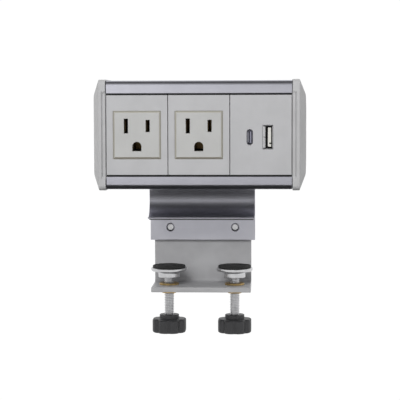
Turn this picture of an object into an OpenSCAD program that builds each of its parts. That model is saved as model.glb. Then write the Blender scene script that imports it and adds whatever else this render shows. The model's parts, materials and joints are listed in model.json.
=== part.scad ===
// Desk power strip: two grounded outlets and a USB charger in an aluminium
// extrusion, on a curved bracket that clamps to the edge of a desk.
// +X is to the right, -Y is the front, +Z is up. The origin is the middle of
// the foot's seat, where the rubber foot pad rests on the desk top.

/* [Body] */
// Length of the extrusion between the two end caps
body_w = 108.4; // [108.4:0.2:112]
// Height of the extrusion
body_h = 63.6; // [63.6:0.2:68]
// Depth of the extrusion, front to back
body_d = 64; // [64:1:80]
// Outer corner radius of the extrusion
corner_r = 3; // [2.5:0.1:4]
// Wall thickness of the extrusion
wall = 2.2; // [2:0.1:2.4]
// Height of the open front between the two lips
opening_h = 48.4; // [48:0.2:49]
// Gap between the desk top and the underside of the extrusion
desk_gap = 20.2; // [19.6:0.1:22]
// How far the front face stands in front of the origin
front_reach = 38; // [37:0.5:40]

/* [End caps] */
// Thickness of the flat rim
rim_t = 4.4; // [4:0.1:5]
// How far the rim stands proud of the extrusion all round
rim_proud = 0.6; // [0.3:0.1:0.8]
// Rise of the bevel beyond the rim
bevel_rise = 3.8; // [2.5:0.1:4]
// Width of the bevel
bevel_w = 9; // [8:0.5:11]
// Rise of the crown beyond the bevel
crown_rise = 0.6; // [0.4:0.1:1.5]

/* [Modules] */
// Distance from one module to the next
pitch = 36.1; // [36:0.05:36.1]
// Width of a module plate
plate_w = 35.7; // [35:0.1:35.8]
// Height of a module plate
plate_h = 46.4; // [45:0.1:47]
// Height of the flange behind the lips
flange_h = 51.2; // [51:0.1:51.4]
// How far a module plate sits behind the lips' front
plate_inset = 0.2; // [0:0.1:0.5]

/* [Outlets] */
// Width and height of the outlet insert
insert_w = 27.6; // [27:0.1:28]
// How far the insert stands in front of the plate
insert_proud = 1; // [0.6:0.1:1.4]
// Clearance round the insert
insert_gap = 0.25; // [0.15:0.05:0.4]
// Distance between the two blade slots, centre to centre
blade_pitch = 12.7; // [12.7:0.1:12.7]
// Width of a blade slot
slot_w = 2.4; // [2.2:0.1:2.6]
// Height of the neutral slot
neutral_h = 8.6; // [8:0.1:9]
// Height of the hot slot
hot_h = 7.1; // [6.8:0.1:7.4]
// Height of the slots' middle above the middle of the plate
slot_z = 5.3; // [5:0.1:5.5]
// Width of the ground hole
ground_w = 5.3; // [5.2:0.1:5.6]
// Height of the round part's centre in the ground hole
ground_z = -6.6; // [-6.8:0.1:-6.4]

/* [USB ports] */
// Distance of the USB-A port from the middle of its module
usb_a_x = 4.05; // [3.5:0.05:5]
// Distance of the USB-C port from the middle of its module
usb_c_x = -6.45; // [-7:0.05:-5.5]
// Height of both ports relative to the middle of the plate
usb_z = -1.3; // [-3:0.1:2]

/* [Bracket] */
// Width of the curved neck and its foot
neck_w = 64.8; // [64:0.1:70]
// Thickness of the neck
neck_t = 4.5; // [4:0.1:4.8]
// Where the front of the neck stands, measured from the origin
neck_y = 3; // [2.8:0.1:3.2]
// How far the lip of the foot reaches in front of the origin
lip_reach = 10; // [9:0.5:11]
// Thickness of the rubber foot pad
pad_t = 0.6; // [0.5:0.1:1]
// Where the desk's edge meets the web behind the foot
edge_y = 9.5; // [9:0.5:10]

/* [Clamp] */
// Desk thickness that the clamp is set to at rest
desk_t = 28; // [27:0.5:28]
// Depth of the jaw's top below the desk top
jaw_depth = 40; // [40:0.5:44]
// Thickness of the steel jaw plate
jaw_t = 3; // [2.5:0.5:3]
// Distance between the two clamp screws
screw_pitch = 40; // [36:1:42]
// Where the clamp screws stand, measured from the origin
screw_y = -4; // [-5:0.5:-3]
// Radius of a clamp screw
screw_r = 3; // [2.8:0.1:3]
// Travel of the clamp pads above the rest position
travel_up = 12.5; // [8:0.5:12.5]
// Radius of a clamp knob
knob_r = 10.5; // [9:0.5:12]

/* [Hidden] */
$fn = 64;
eps = 0.01;

// Heights of the extrusion, and the place of the modules in it
body_z = desk_gap + body_h / 2;
lip_t = wall;
flange_y = lip_t + 0.1;
flange_t = 2;
module_y = flange_y + flange_t;

// End caps: the sunk strip on the front beside the modules, the steps of the
// crown, the screws and the tongue that enters the extrusion
strip_w = 2.9;
strip_flat = 1.6;
strip_mitre = 1.4;
crown_steps = [7, 15];
cap_floor = 2;
cap_hole_r = 2.2;
cap_recess_r = 4.2;
cap_screw_l = 12;
cap_head_r = 3.8;
cap_head_t = 2.4;
cap_tongue = [40, 57];
cap_tongue_half_h = 18;
cap_tongue_l = 2;

// Colours
aluminium = [0.71, 0.71, 0.75];
cap_grey = [0.70, 0.70, 0.70];
plate_grey = [0.71, 0.71, 0.71];
insert_grey = [0.72, 0.72, 0.71];
black = [0.05, 0.05, 0.05];
steel = [0.60, 0.60, 0.62];
brass = [0.72, 0.55, 0.25];
white = [0.92, 0.92, 0.90];

// Screw ports of the extrusion: depth behind the front, height, hole and boss
port_y = 28;
port_z = body_h / 2 - wall - 2.6;
port_r = 1.75;
port_boss_r = 3.4;

// T-slot under the extrusion, measured from its front face and its middle
slot_y = front_reach + neck_y + neck_t / 2;
stem_gap = 0.3;
head_w = 11;
head_t = 2.8;
head_gap = 0.35;
channel_z0 = -body_h / 2 + wall;
channel_h = head_t + 0.4;
channel_wall = 1.8;

// Gland in the back wall
gland_x = -36;
gland_z = -6;
gland_r = 8;
cord_r = 4;
gland_len = 9;
collar_r = 10.5;
collar_t = 3;
nut_t = 4;
nut_r = 11.2;

// Inside of an outlet module, measured from the front face
back_y = 24.4;
shell_w = 34;
shell_h = 44;
shell_t = 1.2;
shell_floor = 1.6;
face_flange_w = 31;
face_flange_t = 1.5;
leaf_y0 = 7;
leaf_y1 = 21;
leaf_t = 0.6;
leaf_h = 6.6;
bridge_t = 0.8;
tail_t = 0.8;
tail_gap = 0.3;
ground_leaf_h = 4;
blade_gap = 1.5;
ground_gap = 5;
ground_drop = 2.8;
post_w = 2;
plate_y = back_y + shell_floor + 0.2;
tab_t = 1;
terminal_x = 9.1;
terminal_z = 6.3;
ground_terminal_z = -13.4;
terminal_r = 1.9;

// USB module, measured from the front face
usb_a_size = [5.8, 13.8];
usb_c_size = [3.4, 9];
usb_fit = 0.15;
usb_a_wall = 0.35;
usb_c_wall = 0.35;
tongue_x = 0.95;
tongue_size = [1.9, 11.1];
tongue_y = [1.2, 11.5];
spring_t = 0.3;
port_end = 14;
board_w = 31;
board_h = 41;
board_t = 1.6;
usb_back = 30;
board_back = port_end + board_t + 0.2;
post_x = 13;
post_z = 18;

// Wiring, measured from the front face and the middle of the body
wire_r = 1.1;
wire_pitch = 2.4;
live_y = 34;
live_z = 13.2;
neutral_y = 38;
neutral_z = 4;
ground_level = -17;
usb_live = [-7, live_z + 2 * wire_pitch];
usb_neutral = [-12, neutral_z + 2 * wire_pitch];
block_x = -9;
block_y = 50;
block_z = -5;
output_pitch = 7.5;
at_plate = plate_y + tab_t + wire_r + 0.1;

// Bracket: the hollow front of the neck, an arc above the lip and a wider one
// on top of it, and the web behind the desk edge
lip_z = 1.8;
sweep_r1 = 16;
sweep_r2 = 10;
sweep_z = lip_z + sweep_r2;
web_t = 3;
web_drop = 14;
fillet_r = 5;
relief_d = 0.4;
relief_h = 0.3;
shoulder_d = 9.5;
shoulder_t = 3.4;
shoulder_gap = 0.2;
set_screw_x = 22;
set_screw_r = 2;

// Clamp stack
jaw_w = 60;
jaw_front = -18;
jaw_top = 3;
bend_r = 2;
jaw_screw_x = 20;
jaw_screw_z = -6;
jaw_screw_r = 2.45;
jaw_head = [4.75, 1.4];
jaw_head_top = [4, 2.6];
jaw_key_r = 1.7;
nose_r = 8;
bush_r = 4.5;
bush_flange_r = 6;
bush_flange_t = 1.2;
bush_drop = 2;
run_gap = 0.05;
rubber_t = 1.5;
rubber_r = 10;
disc_t = 2.6;
disc_r = 11;
boss_r = 6.5;
boss_t = 3.4;
flutes = 8;
flute_r = 2.4;
socket_depth = 5;
socket_gap = 0.08;
pad_top = -desk_t;
disc_top = pad_top - rubber_t;
boss_bottom = disc_top - disc_t - boss_t;
screw_top = boss_bottom + socket_depth - 0.05;
hub_r = 6;
hub_t = 2.5;
hub_top = -jaw_depth - jaw_t - bush_drop - travel_up - 0.7;
knob_t = 8.5;
knob_bottom = hub_top - hub_t - knob_t;
knob_depth = 8.5;
screw_bottom = hub_top - knob_depth;

// ---- helpers -------------------------------------------------------------

// Rectangle with true arcs at its corners
module rounded(w, h, r) {
    square([w - 2 * r, h], center = true);
    square([w, h - 2 * r], center = true);
    for (x = [-1, 1], y = [-1, 1])
        translate([x * (w / 2 - r), y * (h / 2 - r)]) circle(r);
}

// Side profile (Y, Z) drawn out along X, from x0 to x1
module along_x(x0, x1) {
    translate([x0, 0, 0]) rotate([90, 0, 90]) linear_extrude(x1 - x0) children();
}

// Front profile (X, Z) drawn out along Y, from y0 to y1
module along_y(y0, y1) {
    translate([0, y1, 0]) rotate([90, 0, 0]) linear_extrude(y1 - y0) children();
}

// Block between two corners
module block(a, b) {
    translate(a) cube(b - a);
}

// Round bar along Y, from y0 to y1
module bar_y(r, y0, y1) {
    along_y(y0, y1) circle(r);
}

// Round bar along Z, from z0 to z1
module bar_z(r, z0, z1) {
    translate([0, 0, z0]) cylinder(r = r, h = z1 - z0);
}

// Coordinates of the body: Y from the front face, Z from the middle
module in_body() {
    translate([0, -front_reach, body_z]) children();
}

// Coordinates of one module in the body
module in_module(n) {
    in_body() translate([(n - 1) * pitch, 0, 0]) children();
}

function unit(v) = v / norm(v);

// Direction of a route at point i, halfway between its two runs at a bend
function heading(p, i) =
    let(last = len(p) - 1)
    i == 0 ? unit(p[1] - p[0]) :
    i == last ? unit(p[last] - p[last - 1]) :
    unit(unit(p[i] - p[i - 1]) + unit(p[i + 1] - p[i]));

// Side direction at point i, carried along from the start so that the tube doesn't twist
function side(p, i) =
    let(d = heading(p, i), from = i == 0 ? [0.3, 0.5, 0.8] : side(p, i - 1))
    unit(from - (from * d) * d);

// Wire through a list of points: a tube with flat ends and mitred bends
module wire(p) {
    n = 8;
    rings = len(p);
    corners = [for (i = [0 : rings - 1]) let(u = side(p, i), v = cross(heading(p, i), u))
        for (k = [0 : n - 1]) p[i] + wire_r * (u * cos(k * 360 / n) + v * sin(k * 360 / n))];
    sides = [for (i = [0 : rings - 2], k = [0 : n - 1], half = [0, 1])
        let(a = i * n + k, b = i * n + (k + 1) % n)
        half == 0 ? [a, a + n, b] : [b, a + n, b + n]];
    start = [for (k = [0 : n - 1]) k];
    end = [for (k = [n - 1 : -1 : 0]) (rings - 1) * n + k];
    polyhedron(corners, concat([start, end], sides));
}

// ---- body ----------------------------------------------------------------

// Section of the extrusion: open front, screw ports and T-slot
module housing_section() {
    difference() {
        union() {
            difference() {
                translate([body_d / 2, 0]) rounded(body_d, body_h, corner_r);
                translate([body_d / 2, 0])
                    rounded(body_d - 2 * wall, body_h - 2 * wall, corner_r - wall);
            }
            for (z = [-1, 1]) translate([port_y, z * port_z]) circle(port_boss_r);
            translate([slot_y - head_w / 2 - head_gap - channel_wall, -body_h / 2 + eps])
                square([head_w + 2 * (head_gap + channel_wall),
                        wall + channel_h + channel_wall]);
        }
        translate([-1, -opening_h / 2]) square([lip_t + 1 + eps, opening_h]);
        for (z = [-1, 1]) translate([port_y, z * port_z]) circle(port_r);
        translate([slot_y - neck_t / 2 - stem_gap, -body_h / 2 - 1])
            square([neck_t + 2 * stem_gap, wall + 2]);
        translate([slot_y - head_w / 2 - head_gap, channel_z0])
            square([head_w + 2 * head_gap, channel_h]);
    }
}

module housing() {
    color(aluminium) in_body() difference() {
        along_x(-body_w / 2, body_w / 2) housing_section();
        translate([gland_x, 0, gland_z]) bar_y(gland_r + 0.1, body_d - 2 * wall, body_d + 1);
    }
}

// Thin slice of the end cap, pulled in by an amount all round
module cap_slice(x, inset) {
    side = 2 * (rim_proud - inset);
    along_x(x - eps, x) translate([body_d / 2, 0])
        rounded(body_d + side, body_h + side, max(corner_r - inset * 0.35, 2), $fn = 32);
}

// Right-hand end cap, with a tongue that enters the extrusion behind the modules
module end_cap() {
    x0 = body_w / 2;
    rim_x = x0 + rim_t;
    bevel_x = rim_x + bevel_rise;
    difference() {
        union() {
            along_x(x0, rim_x) translate([body_d / 2, 0])
                rounded(body_d + 2 * rim_proud, body_h + 2 * rim_proud, corner_r);
            hull() {
                cap_slice(rim_x, 0);
                cap_slice(bevel_x, bevel_w);
            }
            hull() {
                cap_slice(bevel_x, bevel_w);
                cap_slice(bevel_x + crown_rise * 0.75, bevel_w + crown_steps[0]);
                cap_slice(bevel_x + crown_rise, bevel_w + crown_steps[1]);
            }
            block([x0 - cap_tongue_l, cap_tongue[0], -cap_tongue_half_h],
                  [x0 + eps, cap_tongue[1], cap_tongue_half_h]);
        }
        front_strip(x0);
        for (z = [-1, 1]) translate([x0, port_y, z * port_z]) rotate([0, 90, 0]) {
            translate([0, 0, -1]) cylinder(r = cap_hole_r, h = 12);
            translate([0, 0, cap_floor]) cylinder(r = cap_recess_r, h = 12);
        }
    }
}

// Sunk strip on the cap's front, level with the module plates, with a slope
// up to the rim on three sides
module front_strip(x0) {
    half = opening_h / 2;
    hull() {
        block([x0 - 0.2, -rim_proud, -half], [x0 + strip_flat, plate_inset, half]);
        block([x0 - 0.2, -rim_proud - 0.2, -half - strip_mitre],
              [x0 + strip_w, -rim_proud, half + strip_mitre]);
    }
}

module right_end_cap() {
    color(cap_grey) in_body() end_cap();
}

module left_end_cap() {
    color(cap_grey) in_body() mirror([1, 0, 0]) end_cap();
}

// Two pan-head screws that hold the right-hand cap
module cap_screws() {
    for (z = [-1, 1]) translate([body_w / 2, port_y, z * port_z]) rotate([0, 90, 0])
        difference() {
            union() {
                translate([0, 0, -cap_screw_l])
                    cylinder(r = port_r, h = cap_screw_l + cap_floor + eps);
                translate([0, 0, cap_floor]) cylinder(r = cap_head_r, h = cap_head_t);
            }
            for (turn = [0, 90]) rotate([0, 0, turn])
                block([-2.2, -0.5, cap_floor + cap_head_t - 1], [2.2, 0.5, 5]);
        }
}

module right_cap_screws() {
    color(steel) in_body() cap_screws();
}

module left_cap_screws() {
    color(steel) in_body() mirror([1, 0, 0]) cap_screws();
}

// ---- outlets ---------------------------------------------------------------

// Plate that fills the front opening, with its flange behind the lips
module module_plate() {
    along_y(plate_inset, flange_y + eps) square([plate_w, plate_h], center = true);
    along_y(flange_y, module_y) square([plate_w, flange_h], center = true);
}

module outlet_frame() {
    hole = insert_w + 2 * insert_gap;
    difference() {
        module_plate();
        along_y(-1, module_y + 1) square([hole, hole], center = true);
    }
}

// Outline of the ground hole: a round top on a flat bottom
module ground_hole() {
    translate([0, ground_z]) circle(ground_w / 2);
    translate([-ground_w / 2, ground_z - ground_drop]) square([ground_w, ground_drop]);
}

// Insert with a bevelled front, the three holes and a retaining flange
module outlet_face() {
    front = plate_inset - insert_proud;
    difference() {
        union() {
            hull() {
                along_y(front, plate_inset)
                    square([insert_w - 2 * insert_proud, insert_w - 2 * insert_proud],
                           center = true);
                along_y(plate_inset - eps, plate_inset)
                    square([insert_w, insert_w], center = true);
            }
            along_y(plate_inset - eps, module_y) square([insert_w, insert_w], center = true);
            along_y(module_y, module_y + face_flange_t)
                square([face_flange_w, face_flange_w], center = true);
        }
        along_y(front - 1, module_y + face_flange_t + 1) {
            translate([-blade_pitch / 2, slot_z]) square([slot_w, neutral_h], center = true);
            translate([blade_pitch / 2, slot_z]) square([slot_w, hot_h], center = true);
            ground_hole();
        }
    }
}

// Rear shell with corner posts, slots for the contacts' tails and screw holes
module outlet_back() {
    inner_w = shell_w - 2 * shell_t;
    inner_h = shell_h - 2 * shell_t;
    post = (face_flange_w - 3) / 2;
    slot = tail_t + 2 * tail_gap;
    difference() {
        union() {
            difference() {
                along_y(module_y, back_y + shell_floor)
                    square([shell_w, shell_h], center = true);
                along_y(module_y - 1, back_y) square([inner_w, inner_h], center = true);
            }
            for (x = [-1, 1], z = [-1, 1])
                translate([x * post, 0, z * post])
                    along_y(module_y + face_flange_t + 0.05, back_y + eps)
                        square([post_w, post_w], center = true);
        }
        along_y(back_y - 1, back_y + shell_floor + 1) {
            for (x = [-1, 1]) {
                translate([x * blade_pitch / 2, slot_z]) square([slot, leaf_h + 0.8], center = true);
                translate([x * terminal_x, terminal_z]) circle(terminal_r + 0.1);
            }
            translate([0, ground_z]) square([slot, ground_leaf_h + 0.4], center = true);
            translate([0, ground_terminal_z]) circle(terminal_r + 0.1);
        }
    }
}

// Double-wipe contact: two leaves, a bridge and a tail to its terminal plate
module contact(gap, height, plate_from, plate_to, hole) {
    for (side = [-1, 1])
        translate([side * (gap + leaf_t) / 2, 0, 0])
            along_y(leaf_y0, leaf_y1 + eps) square([leaf_t, height], center = true);
    along_y(leaf_y1, leaf_y1 + bridge_t) square([gap + 2 * leaf_t, height], center = true);
    along_y(leaf_y1 + bridge_t - eps, plate_y + eps) square([tail_t, height - 1], center = true);
    difference() {
        block([plate_from[0], plate_y, plate_from[1]], [plate_to[0], plate_y + tab_t, plate_to[1]]);
        translate([hole[0], 0, hole[1]]) bar_y(terminal_r + 0.05, plate_y - 1, plate_y + tab_t + 1);
    }
}

module blade_contact(side) {
    x = side * blade_pitch / 2;
    reach = side * (terminal_x - blade_pitch / 2);
    translate([x, 0, slot_z])
        contact(blade_gap, leaf_h, [reach - 4.2, -3.6], [reach + 4.2, 5.4],
                [reach, terminal_z - slot_z]);
}

module ground_contact() {
    drop = ground_terminal_z - ground_z;
    translate([0, 0, ground_z])
        contact(ground_gap, ground_leaf_h, [-4.4, drop - 4.2], [4.4, 2], [0, drop]);
}

// Three binding screws on the back of an outlet
module terminal_screws() {
    y = plate_y + tab_t;
    for (p = [[-terminal_x, terminal_z], [terminal_x, terminal_z], [0, ground_terminal_z]])
        translate([p[0], 0, p[1]]) difference() {
            union() {
                bar_y(terminal_r, y - 3.2, y + eps);
                bar_y(3.1, y, y + 2);
            }
            block([-3.5, y + 1.1, -0.5], [3.5, y + 3, 0.5]);
        }
}

module left_outlet_frame() { color(plate_grey) in_module(0) outlet_frame(); }
module left_outlet_face() { color(insert_grey) in_module(0) outlet_face(); }
module left_outlet_back() { color(plate_grey) in_module(0) outlet_back(); }
module left_hot_contact() { color(brass) in_module(0) blade_contact(1); }
module left_neutral_contact() { color(brass) in_module(0) blade_contact(-1); }
module left_ground_contact() { color(brass) in_module(0) ground_contact(); }
module left_terminal_screws() { color(steel) in_module(0) terminal_screws(); }
module middle_outlet_frame() { color(plate_grey) in_module(1) outlet_frame(); }
module middle_outlet_face() { color(insert_grey) in_module(1) outlet_face(); }
module middle_outlet_back() { color(plate_grey) in_module(1) outlet_back(); }
module middle_hot_contact() { color(brass) in_module(1) blade_contact(1); }
module middle_neutral_contact() { color(brass) in_module(1) blade_contact(-1); }
module middle_ground_contact() { color(brass) in_module(1) ground_contact(); }
module middle_terminal_screws() { color(steel) in_module(1) terminal_screws(); }

// ---- USB charger -----------------------------------------------------------

// Upright opening with round ends, as wide as the plug is thick
module usb_c_outline(grow) {
    rounded(usb_c_size[0] + 2 * grow, usb_c_size[1] + 2 * grow, usb_c_size[0] / 2 + grow - eps);
}

module usb_plate() {
    color(plate_grey) in_module(2) {
        difference() {
            module_plate();
            along_y(-1, module_y + 1) {
                translate([usb_a_x, usb_z])
                    square(usb_a_size + 2 * [usb_fit, usb_fit], center = true);
                translate([usb_c_x, usb_z]) usb_c_outline(usb_fit);
            }
        }
        for (s = [-1, 1]) translate([s * post_x, 0, s * post_z]) difference() {
            bar_y(2.6, module_y - eps, port_end);
            bar_y(1.1, module_y + 1, port_end + 1);
        }
    }
}

module usb_a_shell() {
    color(steel) in_module(2) translate([usb_a_x, 0, usb_z]) difference() {
        along_y(0.6, port_end) square(usb_a_size, center = true);
        along_y(0, port_end + 1)
            square(usb_a_size - 2 * [usb_a_wall, usb_a_wall], center = true);
    }
}

// Tongue on its base, nearer the right-hand wall of the shell
module usb_a_tongue() {
    color(white) in_module(2) translate([usb_a_x, 0, usb_z]) {
        along_y(tongue_y[0], tongue_y[1])
            translate([tongue_x, 0]) square(tongue_size, center = true);
        along_y(tongue_y[1] - 0.1, port_end - 0.1)
            square(usb_a_size - 2 * [usb_a_wall + 0.1, usb_a_wall + 0.1], center = true);
    }
}

// Four flat springs on the open side of the tongue
module usb_a_contacts() {
    color(brass) in_module(2) translate([usb_a_x, 0, usb_z])
        for (z = [-3.5, -1, 1, 3.5])
            translate([tongue_x - (tongue_size[0] + spring_t) / 2, 0, z])
                along_y(tongue_y[0] + 1.2, tongue_y[1] - 0.2) square([spring_t, 1], center = true);
}

module usb_c_shell() {
    color(black) in_module(2) translate([usb_c_x, 0, usb_z]) difference() {
        along_y(0.5, port_end) usb_c_outline(0);
        along_y(0, port_end + 1) usb_c_outline(-usb_c_wall);
    }
}

module usb_c_tongue() {
    color(black) in_module(2) translate([usb_c_x, 0, usb_z]) {
        along_y(1.4, 9) square([0.7, 6.6], center = true);
        along_y(8.9, port_end - 0.1) usb_c_outline(-usb_c_wall - 0.1);
    }
}

module usb_board() {
    color([0.05, 0.30, 0.15]) in_module(2) difference() {
        along_y(port_end, port_end + board_t) square([board_w, board_h], center = true);
        for (s = [-1, 1]) translate([s * post_x, 0, s * post_z])
            bar_y(1.3, port_end - 1, port_end + board_t + 1);
    }
}

// Winding between the two halves of its core
module usb_transformer() {
    y = port_end + board_t;
    color([0.20, 0.20, 0.20]) in_module(2) translate([4, 0, 8]) {
        block([-7, y, -6], [7, y + 2.5, 6]);
        block([-5, y + 2.4, -4], [5, y + 9.1, 4]);
        block([-7, y + 9, -6], [7, y + 11.5, 6]);
    }
}

module usb_capacitors() {
    y = port_end + board_t;
    color(steel) in_module(2) for (z = [-4, -14]) translate([8, 0, z]) bar_y(4.2, y, y + 11);
}

module usb_chips() {
    y = port_end + board_t;
    color(black) in_module(2) for (p = [[-8, -4], [-8, -13], [-3, -9]])
        translate([p[0], 0, p[1]]) along_y(y, y + 1.4) square([4, 5], center = true);
}

module usb_back_cover() {
    color(plate_grey) in_module(2) difference() {
        along_y(module_y, usb_back) square([shell_w, shell_h], center = true);
        along_y(module_y - 1, usb_back - shell_floor)
            square([shell_w - 2 * shell_t, shell_h - 2 * shell_t], center = true);
        for (p = [usb_live, usb_neutral])
            translate([p[0], 0, p[1]]) bar_y(wire_r + 0.3, usb_back - 3, usb_back + 1);
    }
}

module usb_board_screws() {
    y = port_end + board_t;
    color(steel) in_module(2) for (s = [-1, 1]) translate([s * post_x, 0, s * post_z]) {
        bar_y(1.05, y - 7, y + eps);
        bar_y(2, y, y + 1.2);
    }
}

// ---- wiring ----------------------------------------------------------------

// Three wires of one pole leave the terminal block side by side. Each goes forward,
// up or down to its own level, across, and forward to its terminal.
// Each route is [sideways offset, level, x and z of the terminal, depth of the terminal].
module pole(output, y, routes) {
    for (r = routes) {
        x = block_x + output * output_pitch + r[0];
        z = block_z - 1;
        wire([[x, block_y - 0.1, z], [x, y, z], [x, y, r[1]],
              [r[2][0], y, r[1]], [r[2][0], r[3], r[2][1]]]);
    }
}

module live_wires() {
    color("black") in_body() pole(1, live_y, [
        [-wire_pitch, live_z, [-pitch + terminal_x, terminal_z + 5], at_plate],
        [wire_pitch, live_z + wire_pitch, [terminal_x, terminal_z + 5], at_plate],
        [0, usb_live[1], pitch_right(usb_live), board_back]
    ]);
}

module neutral_wires() {
    color(white) in_body() pole(-1, neutral_y, [
        [-wire_pitch, neutral_z, [-pitch - terminal_x, terminal_z + 5], at_plate],
        [wire_pitch, neutral_z + wire_pitch, [-terminal_x, terminal_z + 5], at_plate],
        [0, usb_neutral[1], pitch_right(usb_neutral), board_back]
    ]);
}

module ground_wires() {
    color("green") in_body() pole(0, live_y, [
        [-wire_pitch / 2, ground_level, [-pitch, ground_terminal_z - 5.5], at_plate],
        [wire_pitch / 2, ground_level, [0, ground_terminal_z - 5.5], at_plate]
    ]);
}

// Place on the USB module, moved to that module
function pitch_right(p) = [pitch + p[0], p[1]];

// Three-way block on the back wall, with a clamping screw's hole above each pole
module terminal_block() {
    color(white) in_body() difference() {
        block([block_x - 12, block_y, block_z - 5], [block_x + 12, body_d - wall, block_z + 5]);
        for (i = [-1 : 1]) translate([block_x + i * output_pitch, block_y + 5, 0])
            bar_z(1.8, block_z + 2, block_z + 6);
    }
}

// Gland for an 8 mm cord: collar outside, threaded body through the wall
module cord_gland() {
    color(black) in_body() translate([gland_x, 0, gland_z]) difference() {
        union() {
            bar_y(gland_r, body_d - wall - nut_t - 2, body_d + eps);
            bar_y(collar_r, body_d, body_d + collar_t);
            bar_y(gland_r, body_d + collar_t - eps, body_d + gland_len);
        }
        bar_y(cord_r, body_d - wall - nut_t - 3, body_d + gland_len + 1);
    }
}

module gland_nut() {
    y1 = body_d - wall;
    color(black) in_body() translate([gland_x, 0, gland_z]) difference() {
        along_y(y1 - nut_t, y1) circle(nut_r, $fn = 6);
        bar_y(gland_r + run_gap, y1 - nut_t - 1, y1 + 1);
    }
}

// ---- bracket ---------------------------------------------------------------

// Section of the bracket: T-head, swept neck, foot, web and rear shoulder
module bracket_section() {
    web_y = edge_y + web_t;
    back = neck_y + neck_t;
    fillet_z = pad_t + 2.6 + fillet_r;
    difference() {
        translate([-lip_reach, pad_t]) square([lip_reach + back, desk_gap - shoulder_gap - pad_t]);
        intersection() {
            translate([neck_y - sweep_r1, sweep_z]) circle(sweep_r1, $fn = 128);
            translate([neck_y - 2 * sweep_r1, sweep_z]) square(2 * sweep_r1);
        }
        translate([neck_y - sweep_r2, sweep_z]) circle(sweep_r2);
        translate([neck_y - 3 * sweep_r2, lip_z]) square([2 * sweep_r2, desk_gap]);
    }
    difference() {
        translate([back - eps, pad_t]) square([web_y - back + eps, fillet_z - pad_t]);
        translate([web_y, fillet_z]) circle(fillet_r);
    }
    difference() {
        translate([edge_y, -web_drop]) square([web_t, web_drop + pad_t + 1]);
        translate([edge_y - 1, -relief_h]) square([1 + relief_d, relief_h + pad_t]);
    }
    translate([back - 1, desk_gap - shoulder_gap - shoulder_t])
        square([shoulder_d + 1, shoulder_t]);
    translate([neck_y, desk_gap - 2]) square([neck_t, wall + 2 + 0.15]);
    translate([neck_y + neck_t / 2 - head_w / 2, desk_gap + wall + 0.1]) square([head_w, head_t]);
}

module neck_bracket() {
    color(aluminium) difference() {
        along_x(-neck_w / 2, neck_w / 2) bracket_section();
        for (x = [-1, 1]) {
            translate([x * set_screw_x, neck_y + neck_t + shoulder_d / 2 + 1, 0])
                bar_z(set_screw_r + run_gap, desk_gap - 6, desk_gap + 1);
            translate([x * jaw_screw_x, 0, jaw_screw_z])
                bar_y(jaw_screw_r + run_gap, edge_y - 1, edge_y + web_t + 1);
        }
    }
}

// Two socket set screws that press up against the extrusion
module neck_set_screws() {
    color(black)
        for (x = [-1, 1]) translate([x * set_screw_x, neck_y + neck_t + shoulder_d / 2 + 1, 0])
            difference() {
                bar_z(set_screw_r, desk_gap - 6.5, desk_gap);
                translate([0, 0, desk_gap - 7]) cylinder(r = 1.15, h = 2.5, $fn = 6);
            }
}

module foot_pad() {
    color(black)
        block([-neck_w / 2 + 0.8, -lip_reach + 0.8, 0], [neck_w / 2 - 0.8, edge_y - 0.8, pad_t]);
}

// ---- clamp -----------------------------------------------------------------

// Section of the bent steel jaw
module jaw_section() {
    leg_y = edge_y + web_t;
    bend = [leg_y - bend_r, -jaw_depth + bend_r];
    translate([leg_y, bend[1]]) square([jaw_t, jaw_top - bend[1]]);
    translate([jaw_front, -jaw_depth - jaw_t]) square([bend[0] - jaw_front, jaw_t]);
    translate(bend) intersection() {
        difference() {
            circle(bend_r + jaw_t);
            circle(bend_r);
        }
        translate([0, -20]) square([20, 20]);
    }
}

module jaw_plate() {
    color(steel) difference() {
        along_x(-jaw_w / 2, jaw_w / 2) jaw_section();
        for (x = [-1, 1]) {
            translate([x * jaw_screw_x, 0, jaw_screw_z])
                bar_y(jaw_screw_r + 0.3, edge_y, edge_y + web_t + jaw_t + 1);
            translate([x * screw_pitch / 2, screw_y, 0])
                bar_z(bush_r, -jaw_depth - jaw_t - 1, -jaw_depth + 1);
            translate([0, 0, -jaw_depth - jaw_t - 1]) linear_extrude(jaw_t + 2)
                difference() {
                    translate([x * jaw_w / 2, jaw_front]) circle(nose_r * 1.5);
                    translate([x * (jaw_w / 2 - nose_r), jaw_front + nose_r]) circle(nose_r);
                    translate([-x * 20, jaw_front - 1]) square([4 * jaw_w, 60], center = true);
                }
        }
    }
}

// Two button-head screws that hold the jaw to the web
module jaw_screws() {
    y = edge_y + web_t + jaw_t;
    color(steel) for (x = [-1, 1]) translate([x * jaw_screw_x, 0, jaw_screw_z]) difference() {
        union() {
            bar_y(jaw_screw_r, edge_y + 0.4, y + eps);
            bar_y(jaw_head[0], y, y + jaw_head[1]);
            bar_y(jaw_head_top[0], y + jaw_head[1] - 0.1, y + jaw_head_top[1]);
        }
        along_y(y + 0.8, y + 4) circle(jaw_key_r, $fn = 6);
    }
}

// Two threaded bushings pressed into the jaw
module jaw_bushings() {
    color(brass) for (x = [-1, 1]) translate([x * screw_pitch / 2, screw_y, 0]) difference() {
        union() {
            bar_z(bush_r, -jaw_depth - jaw_t - bush_drop, -jaw_depth + eps);
            bar_z(bush_flange_r, -jaw_depth, -jaw_depth + bush_flange_t);
        }
        bar_z(screw_r + run_gap, -jaw_depth - jaw_t - bush_drop - 1, -jaw_depth + bush_flange_t + 1);
    }
}

// Places one of the two clamps: -1 is the left one, 1 the right one
module at_clamp(side) {
    translate([side * screw_pitch / 2, screw_y, 0]) children();
}

module clamp_screw() {
    bar_z(screw_r, screw_bottom, screw_top);
}

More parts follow.
